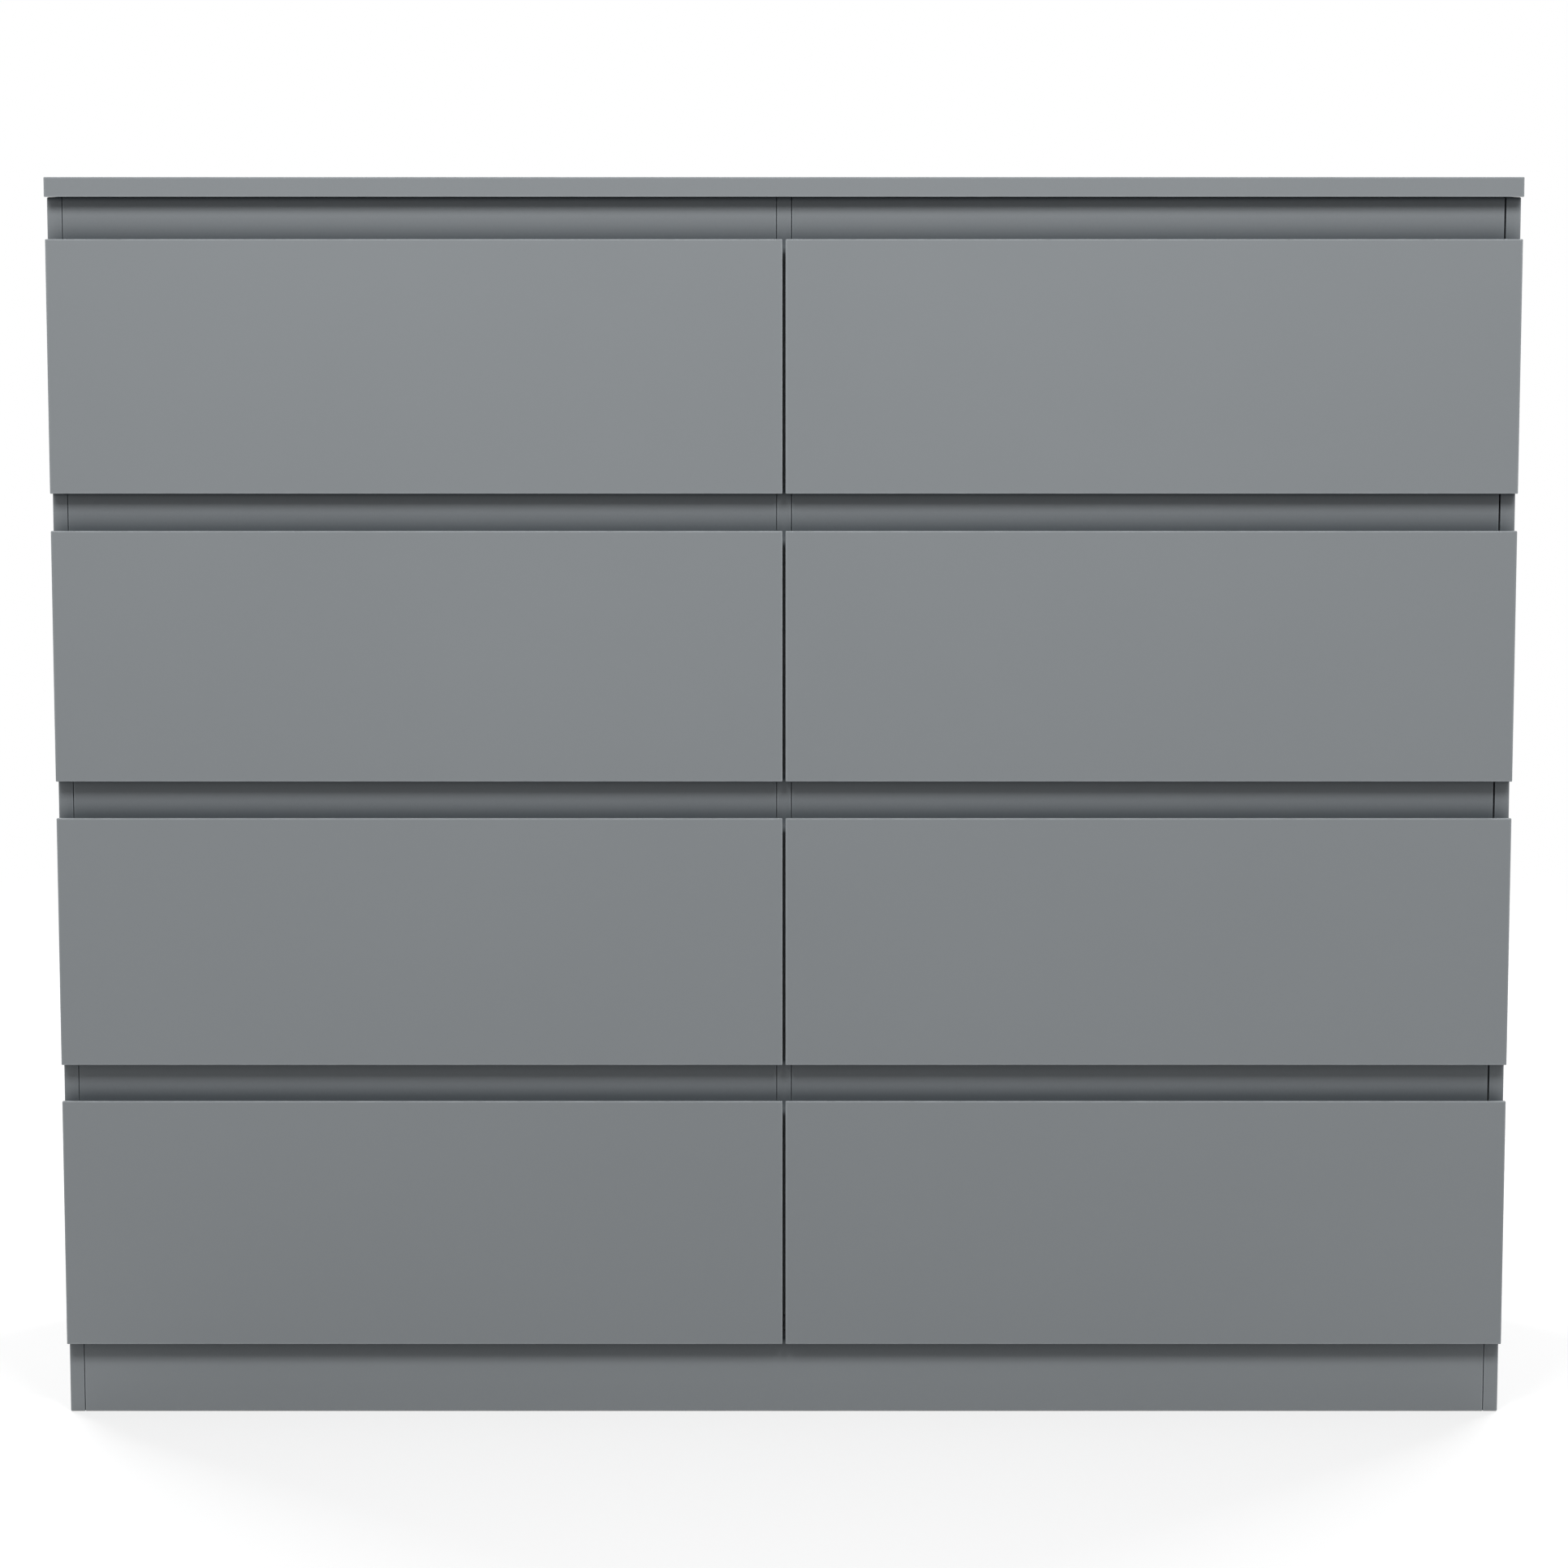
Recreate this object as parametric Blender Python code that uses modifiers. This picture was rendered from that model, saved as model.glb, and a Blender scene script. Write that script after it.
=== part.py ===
"""An eight-drawer dresser: two columns of four handleless drawers in a flat-pack board carcass.

Metres, +Z up. The origin is on the floor, under the middle of the dresser. The drawers face -Y and
open along -Y. Left and right are as seen from the front, and row 1 is the top row.
"""

import bmesh
import bpy

# Overall size
WIDTH = 1.200
DEPTH = 0.400
HEIGHT = 1.030

# Board thicknesses
TOP_THICKNESS = 0.016
FRONT_THICKNESS = 0.016
BOARD = 0.012  # sides, divider, bottom, plinths, rails and drawer boxes
HARDBOARD = 0.003  # back panels and drawer bottoms
GAP = 0.0003  # what two pieces that touch keep between them
EDGE_SOFTENING = 0.0005  # broken edge on the top and on the drawer fronts

# Drawer fronts
ROWS = (1, 2, 3, 4)
COLUMNS = ("left", "right")
FRONT_WIDTH = 0.5985
FRONT_HEIGHT = 0.2067
ROW_PITCH = 0.2372
TOP_RECESS = 0.034  # open height between the top and the first row
CENTRE_GAP = 0.0025  # between the left and the right fronts
FINGER_BEVEL = 0.013  # milled off the rear top edge of each front, for the fingertips

# Rails between the rows
RAIL_BEHIND_FRONT = 0.0175  # how far a rail reaches down behind the front below it
RIGHT_RAIL_END_GAP = 0.0012  # the right-hand rails stop this far short of the side panel

# Base
PLINTH_HEIGHT = 0.070

# Back panels
BACK_INSET = 0.002  # from the outer faces of the side panels
BACK_SPLIT = 0.001  # between the two panels, on the divider's rear edge
BACK_BELOW_TOP = 0.004
BACK_BOTTOM = 0.058

# Drawer boxes: one folded strip makes both sides and the back
BOX_SIDE_CLEARANCE = 0.002
BOX_LENGTH = 0.350
BOX_HEIGHT = 0.145
BOX_ABOVE_FRONT_EDGE = 0.030  # from the front's lower edge to the box's
BOTTOM_ABOVE_BOX_EDGE = 0.010
BOTTOM_IN_SIDES = 0.0046  # how far the drawer bottom reaches into its slots
BOTTOM_IN_FRONT = 0.0056
SLOT_END_CLEARANCE = 0.0004

# Runner strips, fixed to the carcass, in grooves along the outsides of the drawer boxes
RUNNER_HEIGHT = 0.017
RUNNER_LENGTH = 0.350
RUNNER_SET_BACK = 0.010  # from the carcass's front edges
RUNNER_CORNER = 0.005
GROOVE_DEPTH = 0.007
GROOVE_CLEARANCE = 0.0005  # between a runner and its groove, on every side
CUTTER_OVERRUN = 0.010  # how far a cutter runs out of the piece it cuts

# Planes worked out from the sizes above
FACE_Y = -DEPTH / 2  # faces of the drawer fronts, and the front edge of the top
FRONT_BACK_Y = FACE_Y + FRONT_THICKNESS
CARCASS_Y = FRONT_BACK_Y + GAP  # front edges of the sides, rails and plinth
REAR_Y = DEPTH / 2 - HARDBOARD - GAP  # rear edges of the boards, under the back panels
TOP_UNDERSIDE = HEIGHT - TOP_THICKNESS
SIDE_INNER_X = WIDTH / 2 - BOARD
BAY_CENTRE_X = (SIDE_INNER_X + BOARD / 2) / 2
BOX_WIDTH = SIDE_INNER_X - BOARD / 2 - 2 * BOX_SIDE_CLEARANCE
RUNNER_THICKNESS = BOX_SIDE_CLEARANCE + GROOVE_DEPTH - GROOVE_CLEARANCE - GAP
RAIL_HEIGHT = TOP_RECESS - GAP + RAIL_BEHIND_FRONT
CARCASS_FLOOR_Z = PLINTH_HEIGHT + GAP  # underside of the bottom panel

SIGN = {"left": -1, "right": 1}


def clear_scene():
    for obj in list(bpy.data.objects):
        bpy.data.objects.remove(obj)


def new_collection(name):
    collection = bpy.data.collections.new(name)
    bpy.context.scene.collection.children.link(collection)
    return collection


def new_material(name, colour, roughness, metallic=0.0):
    material = bpy.data.materials.new(name)
    material.use_nodes = True
    shader = material.node_tree.nodes["Principled BSDF"]
    shader.inputs["Base Color"].default_value = (*colour, 1.0)
    shader.inputs["Roughness"].default_value = roughness
    shader.inputs["Metallic"].default_value = metallic
    return material


def put_in(collection, obj):
    for other in list(obj.users_collection):
        other.objects.unlink(obj)
    collection.objects.link(obj)


def new_block(name, x, y, z):
    """A rectangular block between the planes of each pair x, y and z."""
    spans = (x, y, z)
    centre = [(low + high) / 2 for low, high in spans]
    bpy.ops.mesh.primitive_cube_add(size=1.0, location=centre)
    block = bpy.context.object
    block.name = name
    block.scale = [high - low for low, high in spans]
    bpy.ops.object.transform_apply(location=False, rotation=False, scale=True)
    return block


def add_board(name, x, y, z, material):
    board = new_block(name, x, y, z)
    board.data.materials.append(material)
    put_in(parts, board)
    return board


def add_cutter(name, x, y, z):
    cutter = new_block(name, x, y, z)
    cutter.hide_render = True
    cutter.display_type = "WIRE"
    put_in(cutters, cutter)
    return cutter


def cut(piece, cutter):
    modifier = piece.modifiers.new(cutter.name, "BOOLEAN")
    modifier.operation = "DIFFERENCE"
    modifier.object = cutter


def soften_edges(piece):
    modifier = piece.modifiers.new("broken_edges", "BEVEL")
    modifier.width = EDGE_SOFTENING
    modifier.segments = 1
    modifier.limit_method = "ANGLE"


def carry(parent, *pieces):
    """Makes the pieces, which stand where they belong, children of the parent."""
    bpy.context.view_layer.update()
    for piece in pieces:
        piece.parent = parent
        piece.matrix_parent_inverse = parent.matrix_world.inverted()


def front_top_z(row):
    return TOP_UNDERSIDE - TOP_RECESS - (row - 1) * ROW_PITCH


def box_bottom_z(row):
    return front_top_z(row) - FRONT_HEIGHT + BOX_ABOVE_FRONT_EDGE


def build_carcass():
    """Top, sides, divider, bottom, plinths and back."""
    outer_x = WIDTH / 2
    between_sides = (-SIDE_INNER_X + GAP, SIDE_INNER_X - GAP)
    boards_y = (CARCASS_Y, REAR_Y)
    under_top = TOP_UNDERSIDE - GAP
    plinth_z = (0.0, PLINTH_HEIGHT)
    divider_x = (-BOARD / 2, BOARD / 2)
    floor_z = (CARCASS_FLOOR_Z, CARCASS_FLOOR_Z + BOARD)

    top = add_board(
        "top_panel", (-outer_x, outer_x), (FACE_Y, REAR_Y), (TOP_UNDERSIDE, HEIGHT), grey_board
    )
    soften_edges(top)
    add_board("side_panel_left", (-outer_x, -SIDE_INNER_X), boards_y, (0, under_top), grey_board)
    add_board("side_panel_right", (SIDE_INNER_X, outer_x), boards_y, (0, under_top), grey_board)
    add_board("bottom_panel", between_sides, boards_y, floor_z, grey_board)
    add_board("centre_divider", divider_x, boards_y, (floor_z[1] + GAP, under_top), grey_board)

    plinth_front_y = (CARCASS_Y, CARCASS_Y + BOARD)
    plinth_rear_y = (REAR_Y - BOARD, REAR_Y)
    support_y = (plinth_front_y[1] + GAP, plinth_rear_y[0] - GAP)
    add_board("plinth_front", between_sides, plinth_front_y, plinth_z, grey_board)
    add_board("plinth_rear", between_sides, plinth_rear_y, plinth_z, grey_board)
    add_board("plinth_support", divider_x, support_y, plinth_z, grey_board)

    back_y = (DEPTH / 2 - HARDBOARD, DEPTH / 2)
    back_z = (BACK_BOTTOM, HEIGHT - BACK_BELOW_TOP)
    outer_edge = outer_x - BACK_INSET
    inner_edge = BACK_SPLIT / 2
    add_board("back_panel_left", (-outer_edge, -inner_edge), back_y, back_z, hardboard)
    add_board("back_panel_right", (inner_edge, outer_edge), back_y, back_z, hardboard)


def build_rail(row, column):
    """The flat board that closes the recess above a drawer front."""
    end_gap = {"left": GAP, "right": RIGHT_RAIL_END_GAP}[column]
    at_divider = SIGN[column] * (BOARD / 2 + GAP)
    at_side = SIGN[column] * (SIDE_INNER_X - end_gap)
    bottom = front_top_z(row) - RAIL_BEHIND_FRONT
    add_board(
        f"front_rail_{row}_{column}",
        sorted((at_divider, at_side)),
        (CARCASS_Y, CARCASS_Y + BOARD),
        (bottom, bottom + RAIL_HEIGHT),
        grey_board,
    )


def build_runners(row, column):
    """The two moulded strips that a drawer slides on, one on each wall of its bay."""
    middle = box_bottom_z(row) + BOX_HEIGHT / 2
    y = (CARCASS_Y + RUNNER_SET_BACK, CARCASS_Y + RUNNER_SET_BACK + RUNNER_LENGTH)
    z = (middle - RUNNER_HEIGHT / 2, middle + RUNNER_HEIGHT / 2)
    bay_centre = SIGN[column] * BAY_CENTRE_X
    wall = BOX_WIDTH / 2 + BOX_SIDE_CLEARANCE - GAP
    for side in COLUMNS:
        outer = bay_centre + SIGN[side] * wall
        inner = outer - SIGN[side] * RUNNER_THICKNESS
        runner = add_board(f"runner_{row}_{column}_{side}", sorted((outer, inner)), y, z, plastic)
        round_runner_ends(runner)


def round_runner_ends(runner):
    """Rounds the four corners that a drawer's groove meets, seen from the side."""
    mesh = bmesh.new()
    mesh.from_mesh(runner.data)
    across = [edge for edge in mesh.edges if abs(edge.verts[0].co.x - edge.verts[1].co.x) > GAP]
    bmesh.ops.bevel(mesh, geom=across, offset=RUNNER_CORNER, segments=2, profile=0.5, affect="EDGES")
    mesh.to_mesh(runner.data)
    mesh.free()


def add_front(name, centre_x, top):
    """A drawer front, with its rear top edge milled off at 45 degrees for the fingertips."""
    x = (centre_x - FRONT_WIDTH / 2, centre_x + FRONT_WIDTH / 2)
    front = add_board(name, x, (FACE_Y, FRONT_BACK_Y), (top - FRONT_HEIGHT, top), grey_board)
    mesh = bmesh.new()
    mesh.from_mesh(front.data)
    rear_top = [
        edge for edge in mesh.edges if all(v.co.y > 0 and v.co.z > 0 for v in edge.verts)
    ]
    bmesh.ops.bevel(mesh, geom=rear_top, offset=FINGER_BEVEL, segments=1, affect="EDGES")
    mesh.to_mesh(front.data)
    mesh.free()
    soften_edges(front)
    return front


def add_box(name, centre_x, bottom):
    """The folded strip: left side, back and right side of a drawer, open at the front and top."""
    left = centre_x - BOX_WIDTH / 2
    right = centre_x + BOX_WIDTH / 2
    rear = CARCASS_Y + BOX_LENGTH
    path = [(left, CARCASS_Y), (left, rear), (right, rear), (right, CARCASS_Y)]

    mesh = bmesh.new()
    corners = [mesh.verts.new((x, y, bottom)) for x, y in path]
    edges = [mesh.edges.new(pair) for pair in zip(corners, corners[1:])]
    raised = bmesh.ops.extrude_edge_only(mesh, edges=edges)["geom"]
    raised_corners = [item for item in raised if isinstance(item, bmesh.types.BMVert)]
    bmesh.ops.translate(mesh, verts=raised_corners, vec=(0, 0, BOX_HEIGHT))
    data = bpy.data.meshes.new(name)
    mesh.to_mesh(data)
    mesh.free()

    box = bpy.data.objects.new(name, data)
    data.materials.append(white_foil)
    parts.objects.link(box)
    wall = box.modifiers.new("wall", "SOLIDIFY")
    wall.thickness = BOARD
    wall.offset = -1.0
    wall.use_even_offset = True
    return box


def build_drawer(row, column):
    """Front, box and bottom of one drawer, under an empty that stands where the drawer slides."""
    name = f"drawer_{row}_{column}"
    front_x = SIGN[column] * (CENTRE_GAP + FRONT_WIDTH) / 2
    bay_x = SIGN[column] * BAY_CENTRE_X
    box_z = box_bottom_z(row)
    bottom_z = box_z + BOTTOM_ABOVE_BOX_EDGE
    half_width = BOX_WIDTH / 2 - BOARD + BOTTOM_IN_SIDES
    bottom_front = FRONT_BACK_Y - BOTTOM_IN_FRONT
    bottom_rear = CARCASS_Y + BOX_LENGTH - BOARD + BOTTOM_IN_SIDES

    slide = bpy.data.objects.new(name + "_slide", None)
    slide.location = (front_x, FRONT_BACK_Y, front_top_z(row) - FRONT_HEIGHT)
    parts.objects.link(slide)

    front = add_front(name + "_front", front_x, front_top_z(row))
    box = add_box(name + "_box", bay_x, box_z)
    bottom = add_board(
        name + "_bottom",
        (bay_x - half_width, bay_x + half_width),
        (bottom_front, bottom_rear),
        (bottom_z, bottom_z + HARDBOARD),
        hardboard,
    )

    slot_half_width = half_width + SLOT_END_CLEARANCE
    slot = add_cutter(
        name + "_bottom_slot",
        (bay_x - slot_half_width, bay_x + slot_half_width),
        (bottom_front - SLOT_END_CLEARANCE, bottom_rear + SLOT_END_CLEARANCE),
        (bottom_z - GAP, bottom_z + HARDBOARD + GAP),
    )
    cut(front, slot)
    cut(box, slot)

    middle = box_z + BOX_HEIGHT / 2
    half_groove = RUNNER_HEIGHT / 2 + GROOVE_CLEARANCE
    groove_y = (CARCASS_Y - CUTTER_OVERRUN, CARCASS_Y + BOX_LENGTH + CUTTER_OVERRUN)
    grooves = []
    for side in COLUMNS:
        face = bay_x + SIGN[side] * BOX_WIDTH / 2
        outside = face + SIGN[side] * CUTTER_OVERRUN
        inside = face - SIGN[side] * GROOVE_DEPTH
        groove = add_cutter(
            f"{name}_{side}_groove",
            sorted((outside, inside)),
            groove_y,
            (middle - half_groove, middle + half_groove),
        )
        cut(box, groove)
        grooves.append(groove)
    carry(slide, front, box, bottom, slot, *grooves)


clear_scene()
parts = new_collection("dresser")
cutters = new_collection("cutters")
grey_board = new_material("matt_grey_board", (0.255, 0.270, 0.282), 0.55)
white_foil = new_material("white_drawer_foil", (0.72, 0.72, 0.70), 0.50)
hardboard = new_material("hardboard", (0.42, 0.30, 0.20), 0.75)
plastic = new_material("runner_plastic", (0.60, 0.61, 0.61), 0.40)

build_carcass()
for row_number in ROWS:
    for column_name in COLUMNS:
        build_rail(row_number, column_name)
        build_runners(row_number, column_name)
        build_drawer(row_number, column_name)
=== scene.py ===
import math

import bmesh
import bpy
from mathutils import Matrix, Vector


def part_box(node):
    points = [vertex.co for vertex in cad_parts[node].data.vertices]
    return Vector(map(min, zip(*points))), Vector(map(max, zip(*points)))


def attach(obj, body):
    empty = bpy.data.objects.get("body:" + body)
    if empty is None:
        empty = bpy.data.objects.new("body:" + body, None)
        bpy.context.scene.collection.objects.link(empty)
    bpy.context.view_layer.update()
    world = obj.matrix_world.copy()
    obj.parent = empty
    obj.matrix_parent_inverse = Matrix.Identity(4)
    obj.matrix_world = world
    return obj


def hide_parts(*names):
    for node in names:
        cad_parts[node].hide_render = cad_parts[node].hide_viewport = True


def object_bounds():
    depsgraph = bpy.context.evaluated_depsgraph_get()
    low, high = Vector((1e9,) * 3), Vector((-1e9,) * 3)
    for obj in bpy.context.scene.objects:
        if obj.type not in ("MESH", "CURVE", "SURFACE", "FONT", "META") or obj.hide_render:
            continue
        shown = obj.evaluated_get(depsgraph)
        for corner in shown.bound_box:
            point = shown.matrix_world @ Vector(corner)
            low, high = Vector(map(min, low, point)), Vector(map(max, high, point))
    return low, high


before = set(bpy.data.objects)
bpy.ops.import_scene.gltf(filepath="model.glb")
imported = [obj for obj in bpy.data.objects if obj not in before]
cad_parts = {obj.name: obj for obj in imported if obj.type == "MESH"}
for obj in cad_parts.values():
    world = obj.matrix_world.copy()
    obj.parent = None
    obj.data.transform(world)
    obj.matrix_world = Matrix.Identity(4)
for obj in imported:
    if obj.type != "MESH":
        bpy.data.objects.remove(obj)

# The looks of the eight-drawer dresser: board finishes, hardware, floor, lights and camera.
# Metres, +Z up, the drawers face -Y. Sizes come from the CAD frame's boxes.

CAD_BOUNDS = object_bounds()

ROWS = (1, 2, 3, 4)
SIDES = ("left", "right")
SIGN = {"left": -1, "right": 1}
CARCASS = "carcass"

# Colours, linear
GREY_FOIL = (0.262, 0.281, 0.295)
# Dark blue-grey that the painted shade in recesses and seams mixes towards
PAINTED_SHADE_COLOUR = (0.0, 0.011, 0.021)
CHIPBOARD = (0.42, 0.29, 0.17)
RAW_HARDBOARD = (0.23, 0.13, 0.068)
WHITE_PAINT = (0.66, 0.66, 0.64)
PAINT_FLECK = (0.46, 0.44, 0.40)
WHITE_FOIL = (0.64, 0.64, 0.62)
# Paler white of the painted highlight on the drawer foil's edges
HIGHLIGHT_WHITE = (0.8, 0.8, 0.78)
WHITE_PLASTIC = (0.70, 0.71, 0.70)
ZINC = (0.55, 0.55, 0.56)
STEEL = (0.66, 0.65, 0.62)
FLOOR_GREY = (0.53, 0.53, 0.53)

FOIL_SHINE = 0.4

# How far the foil looks for what closes it in, for its painted shade in recesses and seams
RECESS_REACH = 0.025
SEAM_REACH = 0.004

# How much the boards' edges are rounded
CRISP_EDGE = 0.00015
THIN_BOARD_EDGE = 0.0002
BOX_EDGE = 0.0003
CARCASS_EDGE = 0.0008

# The thickness left in a runner strip behind its pockets
RUNNER_WEB = 0.0020


def scaled(colour, factor):
    return tuple(factor * c for c in colour)


# ---------------------------------------------------------------- node helpers


class Shader:
    """A material's node tree, with one short call for each node."""

    def __init__(self, name):
        self.material = bpy.data.materials.new(name)
        self.material.use_nodes = True
        self.tree = self.material.node_tree
        self.principled = self.tree.nodes["Principled BSDF"]

    def connect(self, socket, value):
        if isinstance(value, bpy.types.NodeSocket):
            self.tree.links.new(value, socket)
        elif isinstance(value, tuple) and len(value) == 3 and len(socket.default_value) == 4:
            socket.default_value = (*value, 1.0)
        else:
            socket.default_value = value

    def add(self, kind, inputs=(), **settings):
        """Adds a node. inputs maps its sockets' names or numbers to values or to other nodes' outputs."""
        node = self.tree.nodes.new("ShaderNode" + kind)
        for setting, value in settings.items():
            setattr(node, setting, value)
        for key, value in dict(inputs).items():
            self.connect(node.inputs[key], value)
        return node

    def math(self, operation, a, b=0.0):
        return self.add("Math", {0: a, 1: b}, operation=operation).outputs[0]

    def place(self):
        """The point on the piece, in metres, in the frame in which the piece was made."""
        return self.add("TexCoord").outputs["Object"]

    def noise(self, scale, detail=2.0, roughness=0.5, stretch=(1.0, 1.0, 1.0)):
        """Noise from 0 to 1, with scale features in a metre."""
        mapped = self.add("Mapping", {"Vector": self.place(), "Scale": stretch}).outputs[0]
        inputs = {"Vector": mapped, "Scale": scale, "Detail": detail, "Roughness": roughness}
        return self.add("TexNoise", inputs).outputs[0]

    def remap(self, value, low, high, to_low=0.0, to_high=1.0):
        inputs = {"Value": value, "From Min": low, "From Max": high, "To Min": to_low, "To Max": to_high}
        return self.add("MapRange", inputs).outputs[0]

    def spread(self, noise, to_low=0.0, to_high=1.0):
        """Stretches the middle of a noise's range, where most of it lies."""
        return self.remap(noise, 0.3, 0.7, to_low, to_high)

    def between(self, factor, a, b):
        """Mixes two numbers."""
        return self.add("Mix", {0: factor, 2: a, 3: b}).outputs[0]

    def mix(self, factor, a, b, blend="MIX"):
        """Mixes two colours."""
        node = self.add("Mix", data_type="RGBA", blend_type=blend)
        factor_in, a_in, b_in = (
            next(s for s in node.inputs if s.identifier == name)
            for name in ("Factor_Float", "A_Color", "B_Color")
        )
        self.connect(factor_in, factor)
        self.connect(a_in, a)
        self.connect(b_in, b)
        return next(s for s in node.outputs if s.identifier == "Result_Color")

    def dot(self, a, b):
        return self.add("VectorMath", {0: a, 1: b}, operation="DOT_PRODUCT").outputs["Value"]

    def facing(self, axis):
        """1 where the surface faces along the axis, falling to -1 where it faces away."""
        normal = self.add("NewGeometry").outputs["True Normal"]
        to_piece = self.add(
            "VectorTransform", {0: normal}, vector_type="NORMAL", convert_from="WORLD", convert_to="OBJECT"
        )
        return self.dot(to_piece.outputs[0], axis)

    def edges(self, width):
        """1 on the rounded edges of a square-cut board, falling to 0 at that width from them."""
        at_edge, square, same_way = 0.88, 0.98, 0.99
        rounded = self.add("Bevel", {"Radius": width}, samples=4).outputs[0]
        level = self.dot(rounded, self.add("NewGeometry").outputs["Normal"])
        beside = self.remap(level, 1.0, at_edge)
        normal = self.add("NewGeometry").outputs["True Normal"]
        shares = self.add("VectorMath", {0: normal}, operation="ABSOLUTE").outputs[0]
        x, y, z = self.add("SeparateXYZ", {0: shares}).outputs
        largest = self.math("MAXIMUM", self.math("MAXIMUM", x, y), z)
        half = math.sqrt(0.5)
        finger_bevel = self.math("GREATER_THAN", self.facing((0, half, half)), same_way)
        on_edge = self.math("SUBTRACT", self.math("LESS_THAN", largest, square), finger_bevel)
        return self.math("MAXIMUM", beside, on_edge)

    def openness(self, reach, lean=0.0):
        """1 in the open, falling to 0 where surfaces within reach close a point in.

        With a lean the surfaces below count for more than those above.
        """
        normal = self.add("NewGeometry").outputs["Normal"]
        leaned = self.add("VectorMath", {0: normal, 1: (0.0, 0.0, -lean)}, operation="ADD").outputs[0]
        towards = self.add("VectorMath", {0: leaned}, operation="NORMALIZE").outputs[0]
        return self.add("AmbientOcclusion", {"Distance": reach, "Normal": towards}, samples=8).outputs["AO"]

    def recess_shade(self, seam):
        """How much colour the painted shade leaves: 1 in the open and less on forward faces in recesses and
        seams.

        It is 1 again where a closed front covers the face, so that a colour baked with the drawers closed
        isn't black there when they open.
        """
        lean, recess_power, seam_power = 0.22, 1.2, 2.2
        behind_front, in_recess, forward_enough = 0.08, 0.3, 0.25
        recess = self.openness(RECESS_REACH, lean)
        in_recesses = self.math("POWER", recess, recess_power)
        shade = self.math("MULTIPLY", in_recesses, self.math("POWER", seam, seam_power))
        shown = self.remap(recess, behind_front, in_recess)
        forward = self.math("GREATER_THAN", self.facing((0, -1, 0)), forward_enough)
        lost = self.math("MULTIPLY", self.math("SUBTRACT", 1.0, shade), self.math("MULTIPLY", forward, shown))
        return self.math("SUBTRACT", 1.0, lost)

    def bump(self, height, distance, below=None):
        inputs = {"Height": height, "Distance": distance, "Strength": 1.0}
        if below is not None:
            inputs["Normal"] = below
        return self.add("Bump", inputs).outputs[0]

    def finish(self, **sockets):
        """Sets the Principled shader's sockets, with _ for a space in a name, and returns the material."""
        for name, value in sockets.items():
            self.connect(self.principled.inputs[name.replace("_", " ")], value)
        return self.material


# ---------------------------------------------------------------- materials


def foil_finish(shader, exposed=1.0):
    """Colour, roughness and bump of grey matt foil pressed on board, with a painted highlight along its
    exposed edges.
    """
    highlight_strip, fleck = 0.0021, (0.9, 0.9, 0.9)
    darker, lighter, highlight_colour = (scaled(GREY_FOIL, factor) for factor in (0.988, 1.012, 1.55))
    clouded = shader.mix(shader.spread(shader.noise(3.0, detail=3.0)), darker, lighter)
    speckle = shader.spread(shader.noise(900.0, detail=1.0), to_high=0.05)
    speckled = shader.mix(speckle, clouded, fleck, "MULTIPLY")
    # Painted highlight: paler foil along the exposed edges, stronger in random patches
    highlight_patches = shader.remap(shader.noise(45.0), 0.35, 0.65, to_low=0.5, to_high=0.9)
    edge_highlight = shader.math("MULTIPLY", shader.edges(highlight_strip), shader.math("MULTIPLY", highlight_patches, exposed))
    roughness = shader.spread(shader.noise(22.0, detail=4.0), to_low=0.47, to_high=0.53)
    board = shader.bump(shader.noise(38.0), distance=0.000012)
    grained = shader.bump(shader.noise(1500.0), distance=0.00002, below=board)
    return shader.mix(edge_highlight, speckled, highlight_colour), roughness, grained


def grey_foil():
    shader = Shader("grey_foil")
    colour, roughness, normal = foil_finish(shader)
    return shader.finish(Base_Color=colour, Roughness=roughness, Normal=normal, Specular_IOR_Level=FOIL_SHINE)


def chipboard(shader):
    """Colour of raw chipboard, and the height of its fibres."""
    chips = shader.add("TexVoronoi", {"Vector": shader.place(), "Scale": 420.0}).outputs["Distance"]
    fibres = shader.noise(260.0, detail=4.0, roughness=0.7, stretch=(1.0, 1.0, 2.5))
    flakes = shader.mix(shader.remap(fibres, 0.35, 0.65), scaled(CHIPBOARD, 0.5), scaled(CHIPBOARD, 1.45))
    return shader.mix(shader.remap(chips, 0.1, 0.7, to_high=0.55), flakes, CHIPBOARD), fibres


def raw_edges(shader):
    """1 on the faces at the very back and on those that stand on the floor, otherwise 0."""
    edge_zone, on_floor, straight = 0.008, 0.001, 0.9
    _, y, z = shader.add("SeparateXYZ", {0: shader.place()}).outputs
    rear = shader.math("GREATER_THAN", shader.facing((0, 1, 0)), straight)
    under = shader.math("GREATER_THAN", shader.facing((0, 0, -1)), straight)
    at_rear = shader.math("GREATER_THAN", y, CAD_BOUNDS[1].y - edge_zone)
    at_floor = shader.math("LESS_THAN", z, on_floor)
    rear_edge = shader.math("MULTIPLY", rear, at_rear)
    return shader.math("MAXIMUM", rear_edge, shader.math("MULTIPLY", under, at_floor))


def grey_foil_on_carcass():
    """Grey foil with painted shade in recesses and seams, and raw chipboard on its rear and standing edges.
    """
    in_seam, raw_roughness, raw_relief = 0.93, 0.85, 0.0004
    shader = Shader("grey_foil_on_carcass")
    seam = shader.openness(SEAM_REACH)
    colour, roughness, normal = foil_finish(shader, shader.remap(seam, in_seam, 1.0))
    # Painted shade: the foil's colour darkens in recesses and seams, except where a closed front covers it
    shaded = shader.mix(shader.recess_shade(seam), PAINTED_SHADE_COLOUR, colour)
    raw, fibres = chipboard(shader)
    bare = raw_edges(shader)
    return shader.finish(
        Base_Color=shader.mix(bare, shaded, raw),
        Roughness=shader.between(bare, roughness, raw_roughness),
        Normal=shader.bump(shader.math("MULTIPLY", bare, fibres), raw_relief, normal),
        Specular_IOR_Level=FOIL_SHINE,
    )


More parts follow.
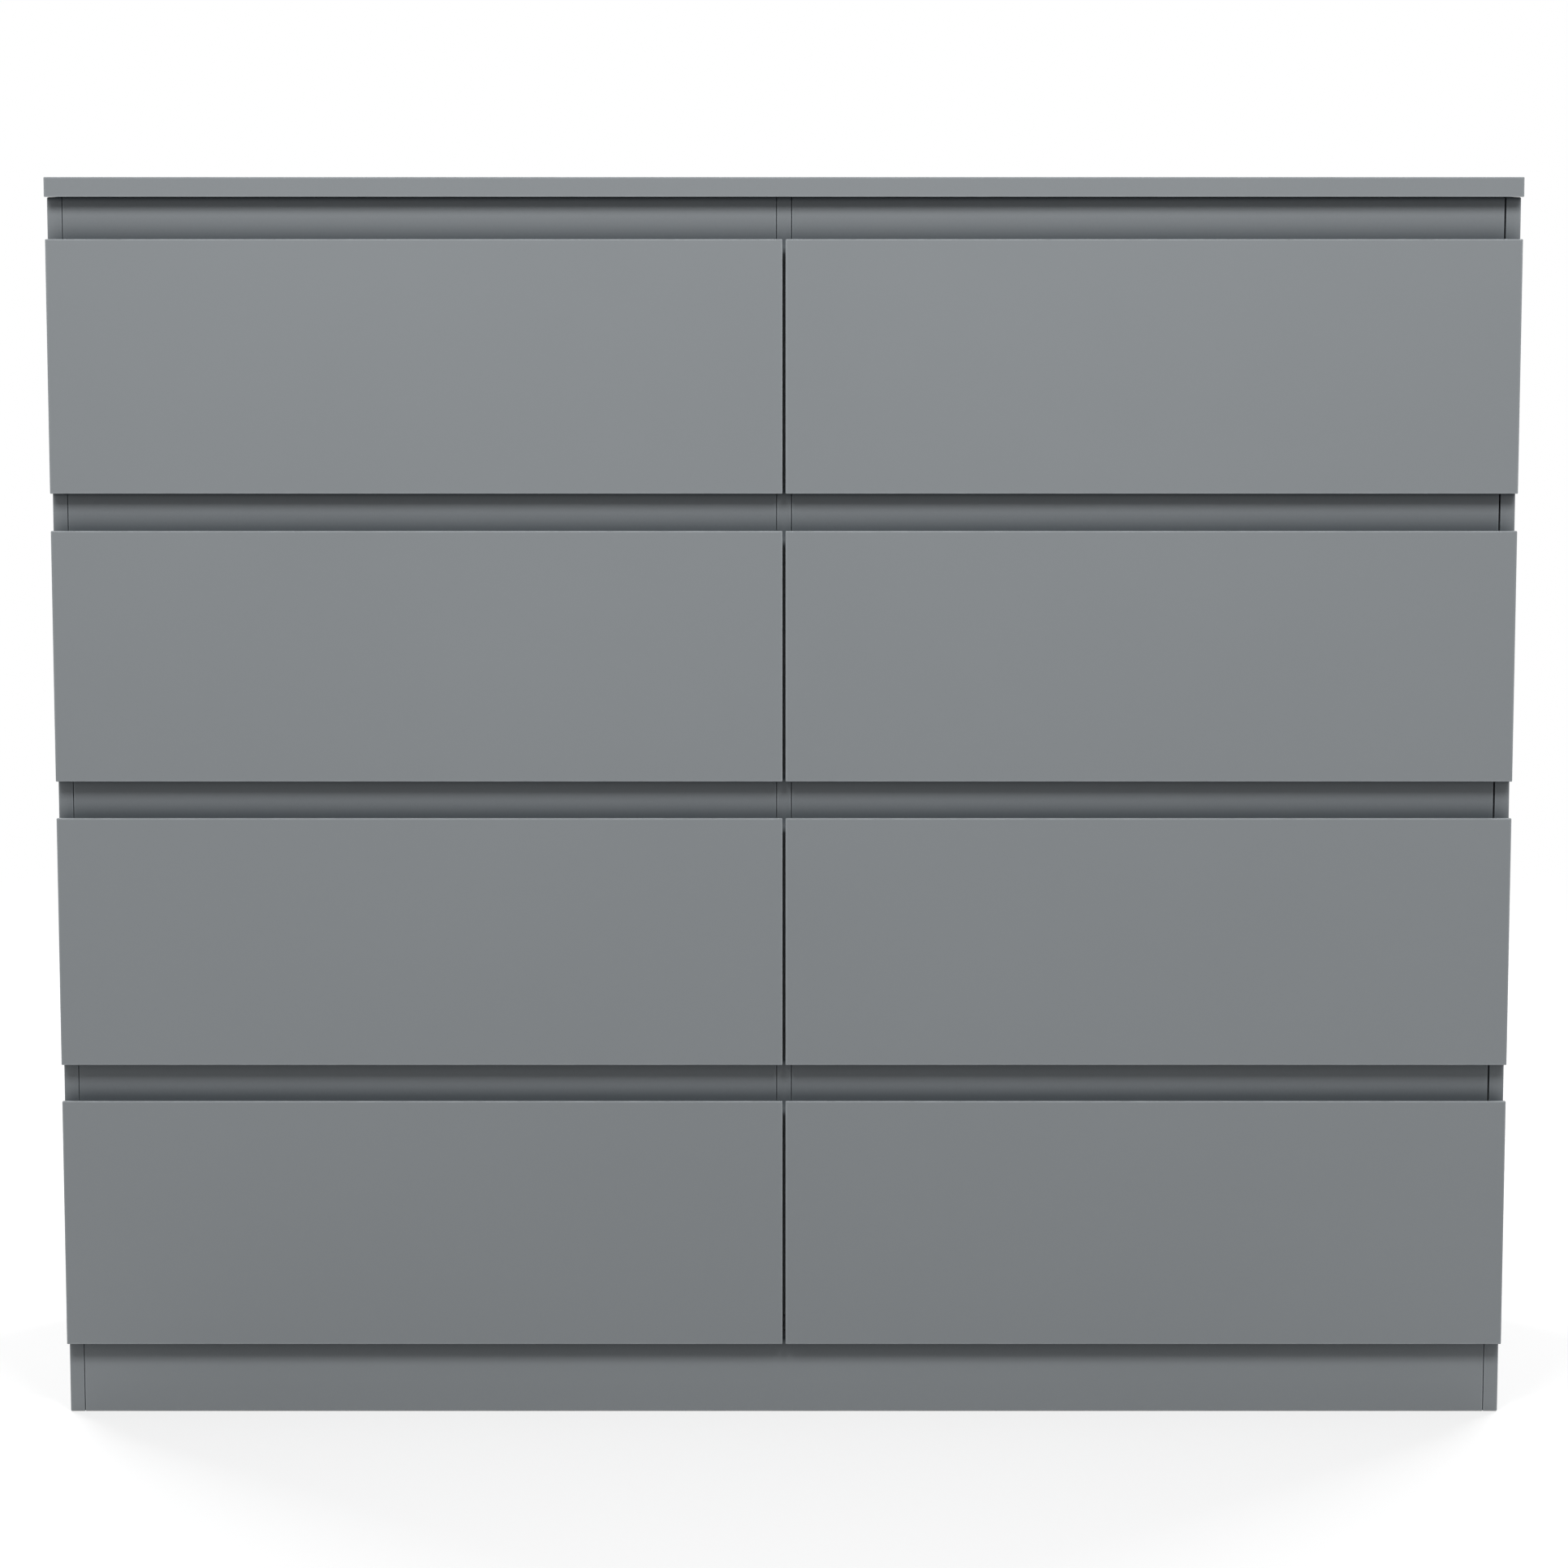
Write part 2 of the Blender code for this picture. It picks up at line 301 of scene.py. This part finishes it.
def hardboard(name, painted_side):
    """Brown fibre board with the screen marks of its press, painted white where it faces along the axis."""
    raw_roughness, paint_roughness, stain = 0.8, 0.42, (0.75, 0.72, 0.68)
    shader = Shader(name)
    fibres = shader.noise(420.0, detail=4.0, roughness=0.7)
    fibrous = shader.mix(shader.spread(fibres), scaled(RAW_HARDBOARD, 0.72), scaled(RAW_HARDBOARD, 1.35))
    patches = shader.spread(shader.noise(9.0, detail=3.0), to_high=0.2)
    brown = shader.mix(patches, fibrous, stain, "MULTIPLY")
    painted = shader.math("GREATER_THAN", shader.facing(painted_side), 0.5)
    flecks = shader.remap(shader.noise(140.0, detail=5.0, roughness=0.75), 0.45, 0.75, to_high=0.35)
    paint = shader.mix(flecks, WHITE_PAINT, PAINT_FLECK)
    waves = [
        shader.add("TexWave", {"Vector": shader.place(), "Scale": 150.0}, bands_direction=axis).outputs[0]
        for axis in ("X", "Y", "Z")
    ]
    screen = shader.math("ADD", shader.math("ADD", waves[0], waves[1]), waves[2])
    bare = shader.math("SUBTRACT", 1.0, painted)
    relief = shader.math("MULTIPLY", shader.math("ADD", screen, fibres), bare)
    return shader.finish(
        Base_Color=shader.mix(painted, brown, paint),
        Roughness=shader.between(painted, raw_roughness, paint_roughness),
        Normal=shader.bump(shader.math("ADD", relief, shader.noise(300.0)), distance=0.00012),
    )


def drawer_foil():
    """White foil printed and embossed with a fine linen weave, with a painted highlight along its edges."""
    shader = Shader("drawer_foil")
    along, across = (1.0, 1.0, 0.06), (0.06, 0.06, 1.0)
    highlight_width, highlight_share = 0.0008, 0.3
    threads = [shader.noise(500.0, stretch=stretch) for stretch in (along, across)]
    weave = shader.math("MULTIPLY", shader.math("ADD", *threads), 0.5)
    woven = shader.mix(shader.remap(weave, 0.35, 0.65), scaled(WHITE_FOIL, 0.86), scaled(WHITE_FOIL, 1.06))
    # Painted highlight: paler white along the box's edges
    edge_highlight = shader.math("MULTIPLY", shader.edges(highlight_width), highlight_share)
    return shader.finish(
        Base_Color=shader.mix(edge_highlight, woven, HIGHLIGHT_WHITE),
        Roughness=shader.remap(weave, 0.35, 0.65, to_low=0.42, to_high=0.58),
        Normal=shader.bump(weave, distance=0.00006),
    )


def runner_plastic():
    shader = Shader("runner_plastic")
    flow = shader.spread(shader.noise(20.0, detail=3.0, stretch=(1.0, 0.2, 1.0)))
    return shader.finish(
        Base_Color=shader.mix(flow, scaled(WHITE_PLASTIC, 0.93), WHITE_PLASTIC),
        Roughness=shader.spread(shader.noise(160.0, detail=3.0), to_low=0.3, to_high=0.42),
        Normal=shader.bump(shader.noise(1200.0), distance=0.00002),
        Subsurface_Weight=0.08,
        Subsurface_Scale=0.002,
    )


def metal(name, colour, roughness, grain):
    """Bare cast or drawn metal, a little duller and rougher in patches. grain is their number in a metre."""
    dullest, rougher = 0.72, 0.18
    shader = Shader(name)
    cast = shader.noise(grain, detail=4.0, roughness=0.6)
    return shader.finish(
        Base_Color=shader.mix(shader.spread(cast), scaled(colour, dullest), colour),
        Roughness=shader.spread(cast, roughness, roughness + rougher),
        Normal=shader.bump(cast, distance=0.00003),
        Metallic=1.0,
    )


# ---------------------------------------------------------------- shaping helpers


def add_piece(name, mesh, material, body):
    """Links a finished mesh as a piece that rides on a body."""
    piece = bpy.data.objects.new(name, mesh)
    bpy.context.scene.collection.objects.link(piece)
    mesh.materials.clear()
    mesh.materials.append(material)
    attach(piece, body)
    return piece


def baked(obj):
    """The object's mesh with its modifiers applied, and the object and its cutters removed."""
    bpy.context.view_layer.update()
    graph = bpy.context.evaluated_depsgraph_get()
    mesh = bpy.data.meshes.new_from_object(obj.evaluated_get(graph))
    cutters = [m.object for m in obj.modifiers if m.type == "BOOLEAN"]
    for used in [obj, *cutters]:
        bpy.data.objects.remove(used)
    return mesh


def block(name, low, high):
    bm = bmesh.new()
    bmesh.ops.create_cube(bm, size=1.0)
    size = Vector(high) - Vector(low)
    centre = (Vector(high) + Vector(low)) / 2
    bmesh.ops.transform(bm, matrix=Matrix.Translation(centre) @ Matrix.Diagonal((*size, 1)), verts=bm.verts)
    mesh = bpy.data.meshes.new(name)
    bm.to_mesh(mesh)
    bm.free()
    obj = bpy.data.objects.new(name, mesh)
    bpy.context.scene.collection.objects.link(obj)
    return obj


def turned(name, profile, steps=32):
    """A closed turned body around +Z. The profile runs from the axis at the bottom to the axis at the top."""
    bm = bmesh.new()
    points = [bm.verts.new((radius, 0, z)) for radius, z in profile]
    edges = [bm.edges.new(pair) for pair in zip(points, points[1:])]
    bmesh.ops.spin(bm, geom=points + edges, axis=(0, 0, 1), cent=(0, 0, 0), steps=steps, angle=math.tau)
    bmesh.ops.remove_doubles(bm, verts=bm.verts, dist=1e-6)
    bmesh.ops.recalc_face_normals(bm, faces=bm.faces)
    mesh = bpy.data.meshes.new(name)
    bm.to_mesh(mesh)
    bm.free()
    obj = bpy.data.objects.new(name, mesh)
    bpy.context.scene.collection.objects.link(obj)
    return obj


def cut(obj, cutter):
    modifier = obj.modifiers.new("cut", "BOOLEAN")
    modifier.object = cutter
    cutter.hide_render = True


def group(name, mesh, places):
    """One mesh holding a copy of mesh at each matrix in places."""
    bm = bmesh.new()
    for place in places:
        copy = mesh.copy()
        copy.transform(place)
        if place.determinant() < 0:
            copy.flip_normals()
        bm.from_mesh(copy)
        bpy.data.meshes.remove(copy)
    joined = bpy.data.meshes.new(name)
    bm.to_mesh(joined)
    bm.free()
    joined.shade_smooth()
    joined.set_sharp_from_angle(angle=math.radians(35))
    return joined


def pointing(position, axis):
    """Moves the origin to position and turns +Z along axis."""
    turn = Vector((0, 0, 1)).rotation_difference(Vector(axis)).to_matrix().to_4x4()
    return Matrix.Translation(position) @ turn


def cross_cutter(name, arm, width, depth, top):
    """A plus-shaped recess, as two crossed bars joined into one. Their tops aren't quite level."""
    taller = 1.01
    bar = block(name, (-arm, -width, top - depth), (arm, width, top + depth))
    other = block(name + "_other", (-width, -arm, top - depth), (width, arm, top + depth * taller))
    join = bar.modifiers.new("join", "BOOLEAN")
    join.operation = "UNION"
    join.object = other
    other.hide_render = True
    joined = baked(bar)
    obj = bpy.data.objects.new(name, joined)
    bpy.context.scene.collection.objects.link(obj)
    return obj


# ---------------------------------------------------------------- hardware shapes


def cam_lock_mesh():
    """A 15 mm cam lock: its face is at z = 0.3 mm and its barrel sinks into the board."""
    radius, proud, sunk, rim = 0.0075, 0.0003, 0.0035, 0.0004
    profile = [(0, -sunk), (radius, -sunk), (radius, proud - rim), (radius - rim, proud), (0, proud)]
    lock = turned("cam_lock", profile, steps=40)
    cut(lock, cross_cutter("cam_cross", arm=0.0042, width=0.0011, depth=0.0022, top=proud))
    return baked(lock)


def screw_mesh():
    """A pan-head screw's head, seated at z = 0."""
    radius, height, rim, shank, sunk, steps = 0.0034, 0.0021, 0.0006, 0.0016, 0.0008, 5
    angles = [math.pi / 2 * k / steps for k in range(steps)]
    dome = [(radius * math.cos(a), rim + (height - rim) * math.sin(a)) for a in angles]
    profile = [(0, -sunk), (shank, -sunk), (shank, 0), (radius, 0), *dome, (0, height)]
    screw = turned("screw_head", profile, steps=28)
    cut(screw, cross_cutter("screw_cross", arm=0.0017, width=0.0004, depth=0.0013, top=height))
    return baked(screw)


def nail_mesh():
    """A small flat nail head, slightly domed, seated at z = 0."""
    underside, rim, shoulder, crown = -0.0004, 0.0002, 0.0005, 0.0006
    profile = [(0, underside), (0.0016, underside), (0.0017, rim), (0.0013, shoulder), (0, crown)]
    return baked(turned("nail_head", profile, steps=16))


def runner_mesh(size):
    """A moulded strip, centred on the origin: its back is on the wall at +X, and ribbed pockets face -X."""
    thickness, length, height = size
    wall, rib, corner, softness, pockets = 0.0018, 0.0016, 0.005, 0.0003, 7
    high = Vector(size) / 2
    strip = block("runner", -high, high)
    bm = bmesh.new()
    bm.from_mesh(strip.data)
    across = [e for e in bm.edges if abs(e.verts[0].co.x - e.verts[1].co.x) > RUNNER_WEB]
    bmesh.ops.bevel(bm, geom=across, offset=corner, segments=6, profile=0.5, affect="EDGES")
    bm.to_mesh(strip.data)
    bm.free()
    room = length - 2 * corner
    pitch = room / pockets
    for k in range(pockets):
        start = -room / 2 + k * pitch + rib / 2
        cut(strip, block(
            f"pocket_{k}",
            (-thickness, start, -height / 2 + wall),
            (thickness / 2 - RUNNER_WEB, start + pitch - rib, height / 2 - wall),
        ))
    mesh = baked(strip)
    softened = bpy.data.objects.new("runner_soft", mesh)
    bpy.context.scene.collection.objects.link(softened)
    bevel = softened.modifiers.new("soft", "BEVEL")
    bevel.width = softness
    bevel.segments = 2
    bevel.limit_method = "ANGLE"
    return baked(softened)


# ---------------------------------------------------------------- the object


def dress_node(name, material, edge):
    """Gives a CAD node its finish and rounds its edges. edge is the width of the rounding."""
    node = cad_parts[name]
    node.data.materials.clear()
    node.data.materials.append(material)
    weld = node.modifiers.new("weld", "WELD")
    weld.merge_threshold = 0.00001
    bevel = node.modifiers.new("soft_edges", "BEVEL")
    bevel.width = edge
    bevel.segments = 2
    bevel.limit_method = "ANGLE"
    bevel.harden_normals = True


def dress_boards():
    foil = grey_foil()
    carcass_foil = grey_foil_on_carcass()
    back = hardboard("back_hardboard", (0, -1, 0))
    bottom = hardboard("bottom_hardboard", (0, 0, 1))
    white = drawer_foil()
    dress_node("top_panel", carcass_foil, CRISP_EDGE)
    for name in ("side_panel_left", "side_panel_right", "centre_divider", "bottom_panel", "plinth_front"):
        dress_node(name, carcass_foil, CARCASS_EDGE)
    for name in ("plinth_rear", "plinth_support"):
        dress_node(name, foil, CARCASS_EDGE)
    for side in SIDES:
        dress_node(f"back_panel_{side}", back, THIN_BOARD_EDGE)
    for row in ROWS:
        for side in SIDES:
            dress_node(f"front_rail_{row}_{side}", carcass_foil, CARCASS_EDGE)
            dress_node(f"drawer_{row}_{side}_front", foil, CRISP_EDGE)
            dress_node(f"drawer_{row}_{side}_box", white, BOX_EDGE)
            dress_node(f"drawer_{row}_{side}_bottom", bottom, THIN_BOARD_EDGE)


def add_runners():
    low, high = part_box("runner_1_left_left")
    shape = runner_mesh(high - low)
    screw = screw_mesh()
    plastic = runner_plastic()
    steel = metal("zinc_plated_steel", STEEL, roughness=0.22, grain=900.0)
    screw_spots = (-0.4, 0.0, 0.4)
    for row in ROWS:
        for column in SIDES:
            for side in SIDES:
                node = f"runner_{row}_{column}_{side}"
                low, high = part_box(node)
                centre = (low + high) / 2
                place = Matrix.Translation(centre) @ Matrix.Diagonal((SIGN[side], 1, 1, 1))
                mesh = group(node, shape, [place])
                runner = add_piece(node + "_moulded", mesh, plastic, CARCASS)
                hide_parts(node)
                seat = centre.x + SIGN[side] * ((high.x - low.x) / 2 - RUNNER_WEB)
                spots = [
                    pointing((seat, centre.y + k * (high.y - low.y), centre.z), (-SIGN[side], 0, 0))
                    for k in screw_spots
                ]
                add_piece(node + "_screws", group(node + "_screws", screw, spots), steel, CARCASS)


def add_cam_locks():
    lock = cam_lock_mesh()
    zinc = metal("cast_zinc", ZINC, roughness=0.34, grain=1400.0)
    from_front, from_edge, wall = 0.024, 0.030, 0.012
    for row in ROWS:
        for column in SIDES:
            body = f"drawer_{row}_{column}"
            low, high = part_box(body + "_box")
            places = [
                pointing((x, low.y + from_front, z), (facing, 0, 0))
                for x, facing in ((low.x + wall, 1), (high.x - wall, -1))
                for z in (low.z + from_edge, high.z - from_edge)
            ]
            add_piece(body + "_cam_locks", group(body + "_cam_locks", lock, places), zinc, body)


def add_back_nails():
    nail = nail_mesh()
    steel = metal("nail_steel", STEEL, roughness=0.35, grain=700.0)
    spacing, edge = 0.105, 0.006
    from_outside, from_middle, stagger = 0.004, 0.003, 0.012
    for side in SIDES:
        low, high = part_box(f"back_panel_{side}")
        outer, inner = (low.x, high.x) if side == "left" else (high.x, low.x)
        inward = -SIGN[side]
        columns = round((high.x - low.x) / spacing)
        rows = round((high.z - low.z) / spacing)
        top_z = high.z - edge
        bottom_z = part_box("bottom_panel")[0].z + edge
        spots = []
        for k in range(rows + 1):
            z = bottom_z + (top_z - bottom_z) * k / rows
            spots.append((outer + inward * from_outside, z))
            lift = stagger if side == "left" and k < rows else 0.0
            spots.append((inner - inward * from_middle, z + lift))
        for k in range(1, columns):
            x = outer + (inner - outer) * k / columns
            spots += [(x, top_z), (x, bottom_z)]
        places = [pointing((x, high.y, z), (0, 1, 0)) for x, z in spots]
        name = f"back_nails_{side}"
        add_piece(name, group(name, nail, places), steel, CARCASS)


# ---------------------------------------------------------------- stage, lights and camera


def add_floor():
    """A pale floor that fades into the white surround and glows a little for the camera only."""
    radius, solid_to, clear_from, below, glow = 6.0, 1.0, 3.2, 0.0002, 0.55
    bm = bmesh.new()
    bmesh.ops.create_circle(bm, cap_ends=True, radius=radius, segments=96)
    mesh = bpy.data.meshes.new("floor")
    bm.to_mesh(mesh)
    bm.free()
    floor = bpy.data.objects.new("floor", mesh)
    bpy.context.scene.collection.objects.link(floor)
    floor.location.z = -below
    floor.visible_shadow = False
    shader = Shader("pale_floor")
    seen = shader.add("LightPath").outputs["Is Camera Ray"]
    shader.finish(
        Base_Color=FLOOR_GREY,
        Roughness=0.9,
        Specular_IOR_Level=0.1,
        Emission_Color=(1.0, 1.0, 1.0),
        Emission_Strength=shader.math("MULTIPLY", seen, glow),
    )
    distance = shader.add("VectorMath", {0: shader.place()}, operation="LENGTH").outputs["Value"]
    fade = shader.remap(distance, solid_to, clear_from)
    clear = shader.add("BsdfTransparent").outputs[0]
    joined = shader.add("MixShader", {0: fade, 1: shader.principled.outputs[0], 2: clear}).outputs[0]
    shader.connect(shader.tree.nodes["Material Output"].inputs["Surface"], joined)
    mesh.materials.append(shader.material)


def add_softbox(name, azimuth, elevation, distance, size, power, target):
    """A square softbox, aimed at the target. Azimuth 0 is in front of the dresser and 90 at its right."""
    a, e = math.radians(azimuth), math.radians(elevation)
    away = Vector((math.sin(a) * math.cos(e), -math.cos(a) * math.cos(e), math.sin(e)))
    light = bpy.data.lights.new(name, "AREA")
    light.shape = "SQUARE"
    light.size = size
    light.energy = power
    box = bpy.data.objects.new(name, light)
    box.location = Vector(target) + away * distance
    box.rotation_mode = "QUATERNION"
    box.rotation_quaternion = away.to_track_quat("Z", "Y")
    bpy.context.scene.collection.objects.link(box)


def add_lights():
    """Two softboxes in front, two behind and a dim white surround that the camera sees as white."""
    face, middle = (0, CAD_BOUNDS[0].y, 0.95), (0, 0, 0.6)
    front = {"elevation": 34, "distance": 3.0, "size": 0.9, "power": 34.6, "target": face}
    back = {"elevation": 35, "distance": 3.2, "size": 1.6, "power": 56, "target": middle}
    dim, white = 0.31, 1.0
    for side, sign in SIGN.items():
        add_softbox(f"front_{side}", azimuth=sign * 20, **front)
        add_softbox(f"back_{side}", azimuth=sign * 140, **back)
    world = bpy.data.worlds.new("surround")
    bpy.context.scene.world = world
    world.use_nodes = True
    tree = world.node_tree
    seen = tree.nodes.new("ShaderNodeLightPath").outputs["Is Camera Ray"]
    strength = tree.nodes.new("ShaderNodeMapRange")
    strength.inputs["To Min"].default_value = dim
    strength.inputs["To Max"].default_value = white
    tree.links.new(seen, strength.inputs["Value"])
    background = tree.nodes["Background"]
    background.inputs["Color"].default_value = (1, 1, 1, 1)
    tree.links.new(strength.outputs[0], background.inputs["Strength"])
    bpy.context.scene.view_settings.view_transform = "Standard"


def add_camera():
    """In front, level with the dresser's top and tilted slightly down."""
    distance, tilt, lens, sensor = 3.835, 7.366, 107.8, 36.0
    data = bpy.data.cameras.new("camera")
    data.lens = lens
    data.sensor_width = sensor
    camera = bpy.data.objects.new("camera", data)
    camera.location = (0, CAD_BOUNDS[0].y - distance, CAD_BOUNDS[1].z)
    camera.rotation_euler = (math.radians(90 - tilt), 0, 0)
    bpy.context.scene.collection.objects.link(camera)
    bpy.context.scene.camera = camera


add_camera()
add_floor()
add_lights()
dress_boards()
add_runners()
add_cam_locks()
add_back_nails()
